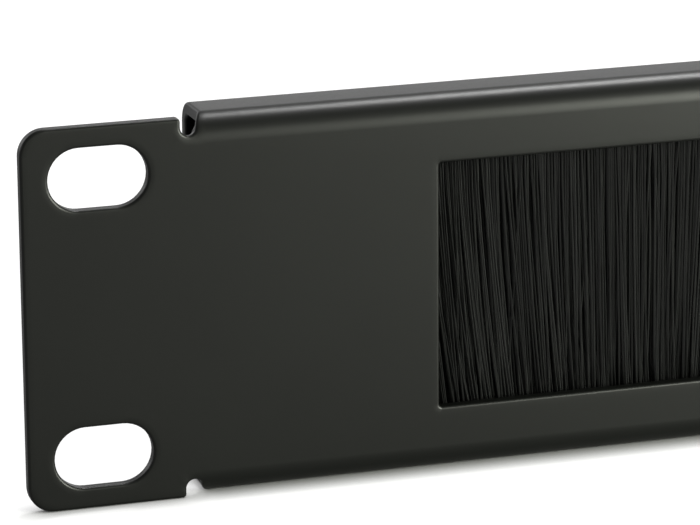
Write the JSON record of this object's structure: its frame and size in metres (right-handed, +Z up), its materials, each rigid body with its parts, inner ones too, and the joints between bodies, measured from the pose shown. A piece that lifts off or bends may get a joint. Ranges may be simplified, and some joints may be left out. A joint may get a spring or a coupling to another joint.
{
  "type": "rack brush strip panel",
  "caption": "One-rack-unit panel of folded black steel with slotted ears and a long window; a strip brush hanging behind the window lets cables pass and keeps draughts out.",
  "frame": {"origin": "centre of the four fixing slots, on the back face of the ears, which seats on the rack rails", "axes": "+X to the right along the panel, +Y back into the rack, +Z up"},
  "size_m": [0.4826, 0.0101, 0.0436],
  "materials": {
    "powder_coat": "satin black powder coat",
    "zinc_steel": "zinc-plated, dull",
    "wire": "drawn wire",
    "filament": "glossy black nylon filament",
    "rivet": "plain",
    "mandrel": "plain"
  },
  "bodies": {
    "root": {"face_panel": "powder_coat", "brush_channel": "zinc_steel", "core_wire": "wire", "bristles": "filament", "rivet_1": "rivet", "rivet_2": "rivet", "rivet_3": "rivet", "rivet_4": "rivet", "rivet_5": "rivet", "rivet_mandrel_1": "mandrel", "rivet_mandrel_2": "mandrel", "rivet_mandrel_3": "mandrel", "rivet_mandrel_4": "mandrel", "rivet_mandrel_5": "mandrel"}
  },
  "joints": []
}
